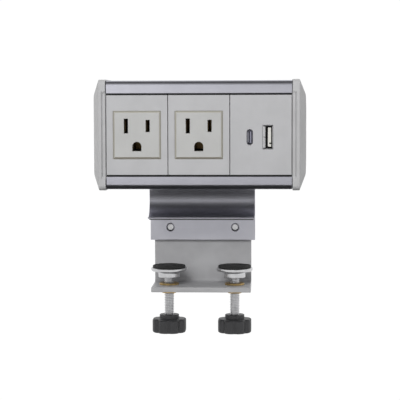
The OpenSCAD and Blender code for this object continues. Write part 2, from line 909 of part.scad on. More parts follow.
// Fluted knob on a short hub, with a blind hole for the screw
module clamp_knob() {
    difference() {
        union() {
            bar_z(hub_r, hub_top - hub_t, hub_top);
            bar_z(knob_r, knob_bottom, hub_top - hub_t + eps);
        }
        bar_z(screw_r, screw_bottom, hub_top + 1);
        for (i = [0 : flutes - 1]) rotate([0, 0, i * 360 / flutes])
            translate([knob_r + 1, 0, 0]) bar_z(flute_r, knob_bottom - 1, hub_top - hub_t + 0.005);
    }
}

// Swivelling pad with a socket for the tip of the screw
module clamp_pad() {
    difference() {
        union() {
            bar_z(disc_r, disc_top - disc_t, disc_top);
            bar_z(boss_r, boss_bottom, disc_top - disc_t + eps);
        }
        bar_z(screw_r + socket_gap, boss_bottom - 1, boss_bottom + socket_depth);
    }
}

module pad_rubber() {
    bar_z(rubber_r, disc_top, pad_top);
}

module left_clamp_screw() { color(steel) at_clamp(-1) clamp_screw(); }
module right_clamp_screw() { color(steel) at_clamp(1) clamp_screw(); }
module left_clamp_knob() { color(black) at_clamp(-1) clamp_knob(); }
module right_clamp_knob() { color(black) at_clamp(1) clamp_knob(); }
module left_clamp_pad() { color(steel) at_clamp(-1) clamp_pad(); }
module right_clamp_pad() { color(steel) at_clamp(1) clamp_pad(); }
module left_pad_rubber() { color(black) at_clamp(-1) pad_rubber(); }
module right_pad_rubber() { color(black) at_clamp(1) pad_rubber(); }

housing();
left_end_cap();
right_end_cap();
left_cap_screws();
right_cap_screws();
left_outlet_frame();
left_outlet_face();
left_outlet_back();
left_hot_contact();
left_neutral_contact();
left_ground_contact();
left_terminal_screws();
middle_outlet_frame();
middle_outlet_face();
middle_outlet_back();
middle_hot_contact();
middle_neutral_contact();
middle_ground_contact();
middle_terminal_screws();
usb_plate();
usb_a_shell();
usb_a_tongue();
usb_a_contacts();
usb_c_shell();
usb_c_tongue();
usb_board();
usb_transformer();
usb_capacitors();
usb_chips();
usb_back_cover();
usb_board_screws();
live_wires();
neutral_wires();
ground_wires();
terminal_block();
cord_gland();
gland_nut();
neck_bracket();
neck_set_screws();
foot_pad();
jaw_plate();
jaw_screws();
jaw_bushings();
left_clamp_screw();
right_clamp_screw();
left_clamp_knob();
right_clamp_knob();
left_clamp_pad();
right_clamp_pad();
left_pad_rubber();
right_pad_rubber();
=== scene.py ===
import json
import math

import bmesh
import bpy
from mathutils import Matrix, Vector

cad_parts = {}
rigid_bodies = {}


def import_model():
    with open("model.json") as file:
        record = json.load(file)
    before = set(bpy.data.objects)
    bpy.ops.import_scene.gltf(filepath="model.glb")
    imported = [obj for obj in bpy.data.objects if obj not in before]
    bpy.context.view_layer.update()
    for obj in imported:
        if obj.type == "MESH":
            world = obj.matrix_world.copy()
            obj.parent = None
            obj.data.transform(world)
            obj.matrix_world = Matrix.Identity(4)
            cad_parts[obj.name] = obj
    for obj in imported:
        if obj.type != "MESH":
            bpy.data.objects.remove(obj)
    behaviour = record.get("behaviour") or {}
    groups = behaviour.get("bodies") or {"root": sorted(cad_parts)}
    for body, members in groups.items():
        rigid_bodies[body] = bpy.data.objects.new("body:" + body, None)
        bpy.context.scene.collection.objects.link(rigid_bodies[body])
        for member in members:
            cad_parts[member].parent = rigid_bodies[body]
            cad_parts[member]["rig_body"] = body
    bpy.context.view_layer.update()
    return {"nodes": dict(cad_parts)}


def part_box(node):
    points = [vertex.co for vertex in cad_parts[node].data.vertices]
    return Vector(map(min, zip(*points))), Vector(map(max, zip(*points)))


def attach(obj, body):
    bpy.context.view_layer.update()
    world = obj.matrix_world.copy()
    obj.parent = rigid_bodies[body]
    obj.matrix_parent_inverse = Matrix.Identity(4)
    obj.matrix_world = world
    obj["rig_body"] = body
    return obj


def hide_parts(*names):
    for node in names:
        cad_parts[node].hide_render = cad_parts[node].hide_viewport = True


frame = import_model()
nodes = frame["nodes"]
slot_of = {name: node.data.materials[0].name for name, node in nodes.items()}
scene = bpy.context.scene
MM = 0.001

# Sizes in millimetres, the same as in the CAD source
FRONT = -38.0
BODY_Z = 52.0
BODY_D = 64.0
BODY_HALF_H = 31.8
BODY_HALF_W = 54.2
CAP_PROUD = 0.6
CORNER_R = 3.0
CAP_SCREW_Y = FRONT + 28
CAP_SCREW_Z = 27.0
CAP_BORE_R = 2.2
CAP_RECESS_R = 4.2
CAP_RECESS_X = 2.0
OPENING_HALF = 24.2
CLAMP_X = 20.0
CLAMP_Y = -4.0
THREAD_R = 3.0
JAW_SCREW = (20.0, -6.0)  # (x, z)
GLAND = (-36.0, 46.0)  # (x, z)
USB_A = (40.15, FRONT, 50.7)
USB_C = (29.65, FRONT, 50.7)


# ---- stage: camera, light and floor ------------------------------------------

# In metres, apart from the camera's sensor in millimetres
SENSOR = 36.0
FLOOR_HALF = 9.0
FLOOR_Z = -0.0722


def look_from(distance, azimuth, elevation, target, aim, roll, lens):
    """Camera at a distance from target, with angles in degrees.

    lens is the focal length and aim how far target lies from the centre, both in millimetres
    on the sensor.
    """
    a, e = math.radians(azimuth), math.radians(elevation)
    back = Vector((math.sin(a) * math.cos(e), -math.cos(a) * math.cos(e), math.sin(e)))
    data = bpy.data.cameras.new("camera")
    data.sensor_width = SENSOR
    data.lens = lens
    data.clip_start, data.clip_end = 0.01, 50
    camera = bpy.data.objects.new("camera", data)
    scene.collection.objects.link(camera)
    turn = (-back).to_track_quat("-Z", "Y").to_matrix()
    yaw = Matrix.Rotation(math.atan(aim[0] / lens), 3, "Y")
    pitch = Matrix.Rotation(math.atan(aim[1] / lens), 3, "X")
    spin = Matrix.Rotation(math.radians(roll), 3, "Z")
    camera.matrix_world = (
        Matrix.Translation(target + back * distance) @ (turn @ yaw @ pitch @ spin).to_4x4()
    )
    scene.camera = camera


def area_light(name, place, target, width, height, power):
    data = bpy.data.lights.new(name, "AREA")
    data.shape = "RECTANGLE"
    data.size, data.size_y = width, height
    data.energy = power
    light = bpy.data.objects.new(name, data)
    light.location = place
    light.rotation_euler = (Vector(target) - Vector(place)).to_track_quat("-Z", "Y").to_euler()
    scene.collection.objects.link(light)
    return light


def ramp_between(tree, value, low, high):
    """Node that goes smoothly from 0 to 1 as value goes from low to high."""
    node = tree.nodes.new("ShaderNodeMapRange")
    node.interpolation_type = "SMOOTHSTEP"
    node.inputs["From Min"].default_value = low
    node.inputs["From Max"].default_value = high
    tree.links.new(value, node.inputs["Value"])
    return node.outputs["Result"]


def feed(tree, socket, value):
    """Puts a number, a colour or another node's output into a socket."""
    if isinstance(value, (int, float)):
        socket.default_value = value
    elif isinstance(value, tuple):
        socket.default_value = (*value, 1)
    else:
        tree.links.new(value, socket)


def maths(tree, operation, *values):
    node = tree.nodes.new("ShaderNodeMath")
    node.operation = operation
    for socket, value in zip(node.inputs, values):
        feed(tree, socket, value)
    return node.outputs[0]


def mix_colour(tree, factor, a, b):
    """Mix node for colours, whose colour sockets are inputs 6 and 7 and output 2."""
    node = tree.nodes.new("ShaderNodeMix")
    node.data_type = "RGBA"
    for index, value in ((0, factor), (6, a), (7, b)):
        feed(tree, node.inputs[index], value)
    return node.outputs[2]


def split_axes(tree, vector):
    node = tree.nodes.new("ShaderNodeSeparateXYZ")
    tree.links.new(vector, node.inputs[0])
    return node.outputs


def make_world():
    """Even behind. In front bright and dark upright bands, and it gets dark overhead."""
    bands = ((0.0, 0.6), (0.28, 1.2), (0.37, 1.8), (0.43, 1.6), (0.5, 0.35), (0.6, 0.2),
             (0.7, 0.6), (0.84, 1.45), (1.0, 1.7))  # (place from left to right, brightness)
    overhead = 0.1
    overhead_lean = 1.3  # how much farther up the darkness starts behind
    world = bpy.data.worlds.new("studio")
    world.use_nodes = True
    scene.world = world
    tree = world.node_tree
    axes = split_axes(tree, tree.nodes.new("ShaderNodeTexCoord").outputs["Generated"])
    panel = tree.nodes.new("ShaderNodeValToRGB")
    while len(panel.color_ramp.elements) < len(bands):
        panel.color_ramp.elements.new(0.5)
    for element, (where, grey) in zip(panel.color_ramp.elements, bands):
        element.position = where
        element.color = (grey, grey, grey, 1)
    tree.links.new(maths(tree, "MULTIPLY_ADD", axes["X"], 0.5, 0.5), panel.inputs[0])
    rear = ramp_between(tree, axes["Y"], -0.35, 0.0)
    colour = mix_colour(tree, rear, panel.outputs[0], (1.0, 1.0, 1.0))
    behind = maths(tree, "MULTIPLY", maths(tree, "MAXIMUM", axes["Y"], 0.0), overhead_lean)
    up = ramp_between(tree, maths(tree, "SUBTRACT", axes["Z"], behind), 0.06, 0.9)
    colour = mix_colour(tree, up, colour, (overhead, overhead, overhead))
    background = tree.nodes["Background"]
    tree.links.new(colour, background.inputs["Color"])
    background.inputs["Strength"].default_value = 1.03


def glowing(name, grey, strength):
    """Matt grey that also shines white by itself."""
    material = bpy.data.materials.new(name)
    material.use_nodes = True
    shader = material.node_tree.nodes["Principled BSDF"]
    shader.inputs["Base Color"].default_value = (grey, grey, grey, 1)
    shader.inputs["Roughness"].default_value = 0.9
    shader.inputs["Emission Color"].default_value = (1, 1, 1, 1)
    shader.inputs["Emission Strength"].default_value = strength
    return material


def sheet(name, low, high, z, material, unseen_by):
    """Level card of the stage, from corner low to corner high, that some rays pass through."""
    corners = [(low[0], low[1], z), (high[0], low[1], z), (high[0], high[1], z),
               (low[0], high[1], z)]
    mesh = bpy.data.meshes.new(name)
    mesh.from_pydata([Vector(c) for c in corners], [], [(0, 1, 2, 3)])
    mesh.materials.append(material)
    piece = bpy.data.objects.new(name, mesh)
    scene.collection.objects.link(piece)
    for ray in unseen_by:
        setattr(piece, "visible_" + ray, False)


make_world()
look_from(0.8, 2.8, 1.3, Vector((0, FRONT, BODY_Z)) * MM, (-0.0945, -5.8455), -0.17, 123.66)
area_light("key", (-0.2, -1.0, 0.6), (0, 0, 0.04), 0.6, 0.5, 9.0).visible_glossy = False
# One floor is seen in reflections only. The other is dimmer, and lights the matt surfaces.
sheet("floor", (-FLOOR_HALF, -FLOOR_HALF), (FLOOR_HALF, FLOOR_HALF), FLOOR_Z,
      glowing("pale_floor", 0.9, 0.6), ("camera", "diffuse"))
sheet("dim_floor", (-FLOOR_HALF, -FLOOR_HALF), (FLOOR_HALF, FLOOR_HALF), FLOOR_Z,
      glowing("grey_floor", 0.3, 0.12), ("camera", "glossy"))
# Dark card at the height of the desk, in front of the bracket, for its reflections
sheet("dark_flag", (-0.25, -0.18), (0.25, -0.013), -0.001, glowing("dark_card", 0.02, 0.006),
      ("camera", "diffuse", "transmission", "shadow", "volume_scatter"))


# ---- materials ---------------------------------------------------------------

def surface(name, colour, rough, metal=0.0, mottle=0.03, mottle_scale=90.0, grain=2500.0,
            stretch=(1, 1, 1), bump=0.12, depth=0.00004, rough_spread=0.06, wear=0.0,
            wear_colour=(0.8, 0.8, 0.8), cells=False, recess=None, under=None, **sockets):
    """Procedural finish: broad colour variation, fine grain in bump and roughness, worn edges,
    and painted shade.

    recess is (axis, from, to, colour): painted shade, the colour the finish takes deeper in, in
    millimetres.
    under is a colour of painted shade for faces that look down.
    """
    material = bpy.data.materials.new(name + "_finish")
    material.use_nodes = True
    tree = material.node_tree
    shader = tree.nodes["Principled BSDF"]
    shader.inputs["Metallic"].default_value = metal
    for socket, value in sockets.items():
        shader.inputs[socket.replace("_", " ")].default_value = value
    coord = tree.nodes.new("ShaderNodeTexCoord")
    mapping = tree.nodes.new("ShaderNodeMapping")
    mapping.inputs["Scale"].default_value = stretch
    tree.links.new(coord.outputs["Object"], mapping.inputs["Vector"])
    broad = tree.nodes.new("ShaderNodeTexNoise")
    broad.inputs["Scale"].default_value = mottle_scale
    broad.inputs["Detail"].default_value = 4
    tree.links.new(coord.outputs["Object"], broad.inputs["Vector"])
    if cells:
        fine = tree.nodes.new("ShaderNodeTexVoronoi")
        fine_value = fine.outputs["Distance"]
    else:
        fine = tree.nodes.new("ShaderNodeTexNoise")
        fine.inputs["Detail"].default_value = 3
        fine_value = fine.outputs["Fac"]
    fine.inputs["Scale"].default_value = grain
    tree.links.new(mapping.outputs["Vector"], fine.inputs["Vector"])
    dark = tuple(c * (1 - 2 * mottle) for c in colour)
    light = tuple(min(c * (1 + 2 * mottle), 1) for c in colour)
    painted = mix_colour(tree, ramp_between(tree, broad.outputs["Fac"], 0.3, 0.7), dark, light)
    painted = mix_colour(tree, maths(tree, "MULTIPLY", fine_value, mottle * 2), painted, dark)
    if wear:
        edge = tree.nodes.new("ShaderNodeNewGeometry").outputs["Pointiness"]
        worn = maths(tree, "MULTIPLY", ramp_between(tree, edge, 0.52, 0.62), wear)
        worn = maths(tree, "MULTIPLY", worn, broad.outputs["Fac"])
        painted = mix_colour(tree, worn, painted, wear_colour)
    # Painted shade: the colour turns to the given one deeper in along the axis.
    if recess:
        axis, low, high, deep = recess
        along = split_axes(tree, coord.outputs["Object"])[axis]
        far = ramp_between(tree, along, low * MM, high * MM)
        painted = mix_colour(tree, far, painted, deep)
    # Painted shade on faces that look down.
    if under:
        facing = tree.nodes.new("ShaderNodeNewGeometry").outputs["True Normal"]
        down = maths(tree, "MULTIPLY", split_axes(tree, facing)["Z"], -1.0)
        down = ramp_between(tree, down, 0.3, 0.6)
        painted = mix_colour(tree, down, painted, under)
    tree.links.new(painted, shader.inputs["Base Color"])
    spread = maths(tree, "MULTIPLY", fine_value, rough_spread)
    tree.links.new(maths(tree, "ADD", spread, rough - rough_spread / 2),
                   shader.inputs["Roughness"])
    relief = tree.nodes.new("ShaderNodeBump")
    relief.inputs["Strength"].default_value = bump
    relief.inputs["Distance"].default_value = depth
    tree.links.new(fine_value, relief.inputs["Height"])
    tree.links.new(relief.outputs["Normal"], shader.inputs["Normal"])
    return material


BLACK = (0.02, 0.02, 0.02)
ALUMINIUM = dict(metal=1.0, mottle=0.012, grain=2200, stretch=(0.03, 1, 1), bump=0.15, wear=0.2,
                 wear_colour=(0.8, 0.8, 0.83))
FINISHES = {
    "anodised_aluminium": dict(colour=(0.555, 0.555, 0.615), rough=0.3, **ALUMINIUM),
    # The bracket's copy of the aluminium is darker: painted shade for the neck below the body.
    "shaded_bracket_aluminium": dict(colour=(0.53, 0.53, 0.58), rough=0.4, **ALUMINIUM),
    "cap_plastic": dict(colour=(0.45, 0.45, 0.455), rough=0.42, wear=0.15,
                        wear_colour=(0.6, 0.6, 0.6)),
    # plate_plastic: black painted shade in the grooves, from 0.6 to 1.6 mm behind the front.
    "plate_plastic": dict(colour=(0.455, 0.455, 0.465), rough=0.42, mottle=0.015,
                          recess=("Y", FRONT + 0.6, FRONT + 1.6, BLACK)),
    # insert_plastic: painted shade, warm as a painted reflection of a brown desk, on the inner
    # part of its front chamfer and behind it, and on faces that look down.
    "insert_plastic": dict(colour=(0.46, 0.46, 0.452), rough=0.4, mottle=0.015,
                           recess=("Y", FRONT - 0.75, FRONT - 0.3, (0.39, 0.375, 0.32)),
                           under=(0.39, 0.36, 0.30)),
    "shell_plastic": dict(colour=(0.30, 0.30, 0.31), rough=0.5),
    # brass: painted shade; the contacts sit above z 0, so all of them take the dark brown.
    "brass": dict(colour=(0.50, 0.35, 0.15), rough=0.35, metal=1.0, mottle=0.08,
                  mottle_scale=400, recess=("Z", -30, 0, (0.12, 0.08, 0.035))),
    "plated_steel": dict(colour=(0.6, 0.6, 0.61), rough=0.28, metal=1.0, mottle_scale=300,
                         bump=0.05, wear=0.3),
    "white_plastic": dict(colour=(0.86, 0.85, 0.82), rough=0.4),
    # tongue_plastic: black painted shade deeper in the USB port, from 1.3 to 1.8 mm behind the
    # front.
    "tongue_plastic": dict(colour=(0.66, 0.65, 0.61), rough=0.4,
                           recess=("Y", FRONT + 1.3, FRONT + 1.8, BLACK)),
    "port_metal": dict(colour=(0.34, 0.34, 0.42), rough=0.3, metal=0.8),
    "black_metal": dict(colour=(0.21, 0.21, 0.24), rough=0.35, metal=0.8, wear=0.3,
                        wear_colour=(0.3, 0.3, 0.32)),
    "black_plastic": dict(colour=(0.025, 0.025, 0.027), rough=0.45, bump=0.25, wear=0.3,
                          wear_colour=(0.1, 0.1, 0.1)),
    "circuit_board": dict(colour=(0.02, 0.16, 0.07), rough=0.35, mottle=0.2, mottle_scale=600,
                          cells=True, grain=700),
    "transformer_core": dict(colour=(0.09, 0.085, 0.08), rough=0.6, mottle=0.15),
    "capacitor_can": dict(colour=(0.55, 0.55, 0.57), rough=0.3, metal=0.9),
    "black_wire": dict(colour=BLACK, rough=0.45),
    "white_wire": dict(colour=(0.8, 0.8, 0.78), rough=0.45),
    "green_wire": dict(colour=(0.03, 0.3, 0.08), rough=0.45),
    "black_rubber": dict(colour=(0.022, 0.022, 0.022), rough=0.75, bump=0.4, grain=1500,
                         cells=True, rough_spread=0.2),
    "painted_steel": dict(colour=(0.36, 0.36, 0.37), rough=0.42, bump=0.5, grain=1300,
                          depth=0.00008, wear=0.5, wear_colour=(0.5, 0.5, 0.5),
                          Coat_Weight=0.1),
}
finish_of = {name: surface(name, **finish) for name, finish in FINISHES.items()}


# ---- mesh helpers --------------------------------------------------------------

# In metres
SAME_POINT = 1e-7
CAD_WELD = 0.00003
# In degrees: faces that meet at less than this are one flat face
FLAT_ANGLE = 0.6


def add_object(name, mesh):
    piece = bpy.data.objects.new(name, mesh)
    scene.collection.objects.link(piece)
    return piece


def from_faces(name, points, faces):
    """Closed mesh from points in millimetres, welded and with its normals outwards."""
    mesh = bpy.data.meshes.new(name)
    mesh.from_pydata([Vector(p) * MM for p in points], [], faces)
    edit = bmesh.new()
    edit.from_mesh(mesh)
    bmesh.ops.remove_doubles(edit, verts=edit.verts, dist=SAME_POINT)
    bmesh.ops.recalc_face_normals(edit, faces=edit.faces)
    edit.to_mesh(mesh)
    edit.free()
    return add_object(name, mesh)


def loft(name, rings, closed=False):
    """Skin through rings with equal numbers of points. closed joins the last to the first."""
    n, count = len(rings[0]), len(rings)
    faces = []
    for i in range(count if closed else count - 1):
        a, b = i * n, (i + 1) % count * n
        faces += [(a + k, a + (k + 1) % n, b + (k + 1) % n, b + k) for k in range(n)]
    if not closed:
        faces += [tuple(range(n)), tuple(range((count - 1) * n, count * n))]
    return from_faces(name, [p for ring in rings for p in ring], faces)


def round_corners(points, radii, steps=3):
    """Polyline with its inner corners rounded. radii has one for each inner corner."""
    points = [Vector(p) for p in points]
    result = [points[0]]
    for last, p, following, r in zip(points, points[1:], points[2:], radii):
        before, after = last - p, following - p
        a = p + before * min(r / before.length, 0.45)
        b = p + after * min(r / after.length, 0.45)
        for s in range(steps + 1):
            t = s / steps
            result.append(a * (1 - t) ** 2 + p * 2 * t * (1 - t) + b * t ** 2)
    return result + [points[-1]]


def place(axis, centre, across, along):
    """Point from a position across an axis and one along it."""
    u, v = across
    x, y, z = centre
    if axis == "X":
        return (x + along, y + u, z + v)
    if axis == "Y":
        return (x + u, y + along, z + v)
    return (x + u, y + v, z + along)


def circle(radius, segments, shape=None):
    """Points round a circle. shape(radius, angle) gives the radius at each angle."""
    points = []
    for k in range(segments):
        a = 2 * math.pi * k / segments
        r = radius if shape is None else shape(radius, a)
        points.append((r * math.cos(a), r * math.sin(a)))
    return points


def turned(name, profile, centre, axis="Z", closed=False, segments=48, shape=None):
    """Turned piece. The profile is a list of (radius, place along the axis)."""
    rings = [[place(axis, centre, p, z) for p in circle(r, segments, shape)]
             for r, z in profile]
    return loft(name, rings, closed)


def rounded_rectangle(half_a, half_b, r, steps=8):
    """Outline from half the two sides and the corners' radius."""
    points = []
    for quarter, (sa, sb) in enumerate(((1, 1), (-1, 1), (-1, -1), (1, -1))):
        for s in range(steps + 1):
            a = math.pi / 2 * (quarter + s / steps)
            points.append((sa * (half_a - r) + r * math.cos(a),
                           sb * (half_b - r) + r * math.sin(a)))
    return points


def block(name, low, high):
    """Box between two opposite corners."""
    points = [(x, y, z) for x in (low[0], high[0]) for y in (low[1], high[1])
              for z in (low[2], high[2])]
    faces = [(0, 1, 3, 2), (4, 6, 7, 5), (0, 4, 5, 1), (2, 3, 7, 6), (0, 2, 6, 4), (1, 5, 7, 3)]
    return from_faces(name, points, faces)


def apply(piece):
    """Makes the modified shape the mesh itself."""
    bpy.context.view_layer.update()
    evaluated = piece.evaluated_get(bpy.context.evaluated_depsgraph_get())
    mesh = bpy.data.meshes.new_from_object(evaluated)
    piece.modifiers.clear()
    piece.data = mesh


def combine(piece, other, operation="DIFFERENCE"):
    """Cuts or joins other into piece, and removes other."""
    modifier = piece.modifiers.new("combine", "BOOLEAN")
    modifier.object = other
    modifier.operation = operation
    modifier.solver = "EXACT"
    apply(piece)
    bpy.data.objects.remove(other)
    return piece


def join(pieces):
    """Joins the pieces into the first one."""
    for piece in pieces[1:]:
        combine(pieces[0], piece, "UNION")
    return pieces[0]


def soften(piece, width=0.0, segments=2, angle=32, merge=False):
    """Rounds the edges sharper than angle, by width, and shades the piece smooth.

    merge joins the flat faces again after the rounding.
    """
    for polygon in piece.data.polygons:
        polygon.use_smooth = True
    piece.data.set_sharp_from_angle(angle=math.radians(angle + 8))
    if width:
        bevel = piece.modifiers.new("edges", "BEVEL")
        bevel.width = width * MM
        bevel.segments = segments
        bevel.limit_method = "ANGLE"
        bevel.angle_limit = math.radians(angle)
        bevel.use_clamp_overlap = False
        bevel.loop_slide = False
        bevel.miter_outer = "MITER_ARC"
    if merge:
        flat = piece.modifiers.new("flat", "DECIMATE")
        flat.decimate_type = "DISSOLVE"
        flat.angle_limit = math.radians(FLAT_ANGLE / 2)
    normals = piece.modifiers.new("normals", "WEIGHTED_NORMAL")
    normals.keep_sharp = True
    return piece


def dress(piece, node, finish=None):
    """Gives a piece the body, the slot and the finish of a CAD node."""
    slot = slot_of[node]
    piece.data.materials.clear()
    piece.data.materials.append(finish_of[finish or slot])
    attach(piece, nodes[node]["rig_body"])


def stand_for(piece, node, finish=None):
    """Piece takes the place of a CAD node, with its body and slot."""
    dress(piece, node, finish)
    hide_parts(node)


def refine(name, width, segments=2, merge=False, finish=None):
    """Copy of a CAD node with welded points, merged flat faces and rounded edges.

    merge is for faces with windows. Large faces are cut into triangles before the rounding
    and joined after it, which keeps thin wedges out of them.
    """
    piece = add_object(name + "_piece", nodes[name].data.copy())
    if piece.data.has_custom_normals:
        piece.data.attributes.remove(piece.data.attributes["custom_normal"])
    edit = bmesh.new()
    edit.from_mesh(piece.data)
    bmesh.ops.remove_doubles(edit, verts=edit.verts, dist=CAD_WELD)
    bmesh.ops.dissolve_limit(edit, angle_limit=math.radians(FLAT_ANGLE), verts=edit.verts,
                             edges=edit.edges)
    if merge:
        bmesh.ops.triangulate(edit, faces=[f for f in edit.faces if len(f.verts) > 4],
                              ngon_method="BEAUTY")
    bmesh.ops.recalc_face_normals(edit, faces=edit.faces)
    edit.to_mesh(piece.data)
    edit.free()
    stand_for(soften(piece, width, segments, merge=merge), name, finish)


# ---- end caps ------------------------------------------------------------------

def cap_strip(name, side):
    """Cutter beside the modules: a flat, a narrow groove and a slope out to the rim."""
    flat_y, front = FRONT + 0.2, FRONT - CAP_PROUD
    out = front - 0.4
    half, wide = OPENING_HALF, OPENING_HALF + 1.4
    start, groove, groove_end, rim = (side * (BODY_HALF_W + x) for x in (-0.5, 1.8, 2.15, 2.8))
    section = ((start, flat_y, half), (groove, flat_y, half), (groove_end, flat_y + 0.4, half),
               (rim, front, wide), (start, front, wide), (rim, out, wide), (start, out, wide))
    points = [(x, y, BODY_Z + z * up) for up in (-1, 1) for x, y, z in section]
    return from_faces(name, points, [
        (0, 1, 8, 7), (1, 2, 9, 8), (2, 3, 10, 9), (3, 5, 12, 10), (5, 6, 13, 12),
        (0, 4, 6, 13, 11, 7), (0, 1, 3, 4), (1, 2, 3), (4, 3, 5, 6), (7, 8, 10, 11),
        (8, 9, 10), (11, 10, 12, 13)])


def cap_mesh(name, side):
    """End cap: flat rim, bevel and crown, with a bevelled strip beside the modules."""
    # (inset of the outline, distance out from the housing), from a thin gap to the crown
    line = [(2.2, 0), (2.2, 0.4)] + round_corners(
        [(0.4, 0.4), (0, 0.4), (0, 4.4), (9, 8.2), (16, 8.65), (24, 8.79), (30.5, 8.8)],
        [0.15, 0.35, 1.2, 3, 2], 4)
    rings = []
    for inset, x in line:
        outline = rounded_rectangle(BODY_D / 2 + CAP_PROUD - inset,
                                    BODY_HALF_H + CAP_PROUD - inset,
                                    max(CORNER_R - inset * 0.35, 1.5))
        rings.append([(side * (BODY_HALF_W + x), FRONT + BODY_D / 2 + a, BODY_Z + b)
                      for a, b in outline])
    cap = loft(name, rings)
    combine(cap, cap_strip(name + "_strip", side))
    for up in (-1, 1):
        centre = (side * BODY_HALF_W, CAP_SCREW_Y, BODY_Z + up * CAP_SCREW_Z)
        bore = [(CAP_BORE_R, -1), (CAP_BORE_R, CAP_RECESS_X), (CAP_RECESS_R, CAP_RECESS_X),
                (CAP_RECESS_R, 12)]
        combine(cap, turned(name + "_bore", [(r, side * x) for r, x in bore], centre, "X"))
    ends = sorted((side * (BODY_HALF_W - 2), side * (BODY_HALF_W + 1)))
    tongue = block(name + "_tongue", (ends[0], 2, BODY_Z - 18), (ends[1], 19, BODY_Z + 18))
    combine(cap, tongue, "UNION")
    return soften(cap, 0.12, angle=40)


for side, word in ((-1, "left"), (1, "right")):
    stand_for(cap_mesh(word + "_cap_shell", side), word + "_end_cap")


# ---- screws ----------------------------------------------------------------------

def cross_cutter(name, centre, axis, start, end, reach):
    """Tapered cross for a driver, from its narrow end at start to its wide end."""
    arms = []
    for turn in (0, math.pi / 2):
        rings = []
        for along, scale in ((start, 0.35), (end, 1.0)):
            u, v = reach * scale, 0.55 * scale + 0.2
            corners = [(-u, -v), (u, -v), (u, v), (-u, v)]
            rings.append([place(axis, centre, (a * math.cos(turn) - b * math.sin(turn),
                                               a * math.sin(turn) + b * math.cos(turn)), along)
                          for a, b in corners])
        arms.append(loft(name, rings))
    return combine(arms[0], arms[1], "UNION")


def cap_screw(name, side, up):
    centre = (side * BODY_HALF_W, CAP_SCREW_Y, BODY_Z + up * CAP_SCREW_Z)
    shank_r, head_r, seat = 1.75, 3.8, CAP_RECESS_X + 0.05
    line = [(1.2, -12), (shank_r, -11.3), (shank_r, seat), (head_r, seat), (head_r, 3.3),
            (2.6, 4.25), (0.8, 4.4)]
    profile = round_corners([(r, side * x) for r, x in line], [0.2, 0.1, 0.1, 0.4, 0.8])
    screw = turned(name, profile, centre, "X", segments=40)
    cutter = cross_cutter(name + "_cross", centre, "X", side * 3.0, side * 5.2, 2.4)
    return combine(screw, cutter)


for side, word in ((-1, "left"), (1, "right")):
    pair = join([cap_screw(word + "_cap_screw_pair", side, -1),
                 cap_screw(word + "_cap_screw_upper", side, 1)])
    stand_for(soften(pair, 0.06), word + "_cap_screws")


# ---- body, modules and bracket ------------------------------------------------------

def gap_shade_ring(word):
    """Square ring that closes the gap round an outlet's insert just below the surface. It takes
    the insert's painted shade colour and stands in for the shade in the gap.
    """
    insert = word + "_outlet_face"
    outer, inner, top, bottom = 14.04, 13.3, 0.7, 1.4  # half sides, and depths
    low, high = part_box(insert)
    x = (low.x + high.x) / 2 / MM
    rings = [[(x + a * reach, FRONT + depth, BODY_Z + b * reach)
              for a, b in ((-1, -1), (1, -1), (1, 1), (-1, 1))]
             for reach, depth in ((outer, top), (outer, bottom), (inner, bottom), (inner, top))]
    dress(loft(word + "_outlet_gasket", rings, closed=True), insert)


refine("housing", 0.2)
for word in ("left", "middle"):
    refine(word + "_outlet_frame", 0.12, merge=True)
    refine(word + "_outlet_face", 0.12, merge=True)
    gap_shade_ring(word)
    refine(word + "_outlet_back", 0.15)
    for part in ("hot_contact", "neutral_contact", "ground_contact"):
        refine(f"{word}_{part}", 0.08)
refine("usb_plate", 0.12)
refine("neck_bracket", 0.3, 3, finish="shaded_bracket_aluminium")
refine("foot_pad", 0.25, 3)
refine("jaw_plate", 0.4, 3)


# ---- USB ports -----------------------------------------------------------------------

def tube(name, centre, half_a, half_b, r, wall, start, end):
    """Thin shell of a port: a rounded outline with rolled front edges."""
    line = [(0, end), (0, start + 0.18), (0.06, start + 0.04), (0.16, start),
            (wall - 0.1, start), (wall - 0.03, start + 0.05), (wall, start + 0.18), (wall, end)]
    rings = [[place("Y", centre, p, y)
              for p in rounded_rectangle(half_a - d, half_b - d, max(r - d, 0.05))]
             for d, y in line]
    return loft(name, rings, closed=True)


def plate_with_edges(name, centre, low, high, r):
    """Flat block along Y whose outline has rounded corners. low and high are (x, y, z)."""
    half_a, half_b = (high[0] - low[0]) / 2, (high[2] - low[2]) / 2
    middle = (centre[0] + (low[0] + high[0]) / 2, centre[1], centre[2] + (low[2] + high[2]) / 2)
    line = [(0.12, low[1]), (0, low[1] + 0.12), (0, high[1] - 0.05), (0.05, high[1])]
    rings = [[place("Y", middle, p, y)
              for p in rounded_rectangle(half_a - d, half_b - d, r)] for d, y in line]
    return loft(name, rings)


def point_in(port, x, y, z):
    """Point from its place in a port, with y inwards from the front."""
    return (port[0] + x, port[1] + y, port[2] + z)


WALL = 0.35
PORT_END = 14.0

shell = tube("usb_a_case", USB_A, 2.9, 6.9, 0.5, WALL, 0.6, PORT_END)
# Bent spring finger, seen from above: (x, y, share of its full width there)
FINGER = ((0, 0, 1), (1.4, 1.1, 0.98), (1.4, 1.4, 0.98), (0.35, 5, 1), (0, 5, 1))
for z in (-3.15, 3.15):
    rings = [[point_in(USB_A, x - 2.72, y + 0.8, z + h * share) for x, y, share in FINGER]
             for h in (-3.0, 3.0)]
    combine(shell, loft("usb_a_finger", rings), "UNION")
stand_for(soften(shell), "usb_a_shell")

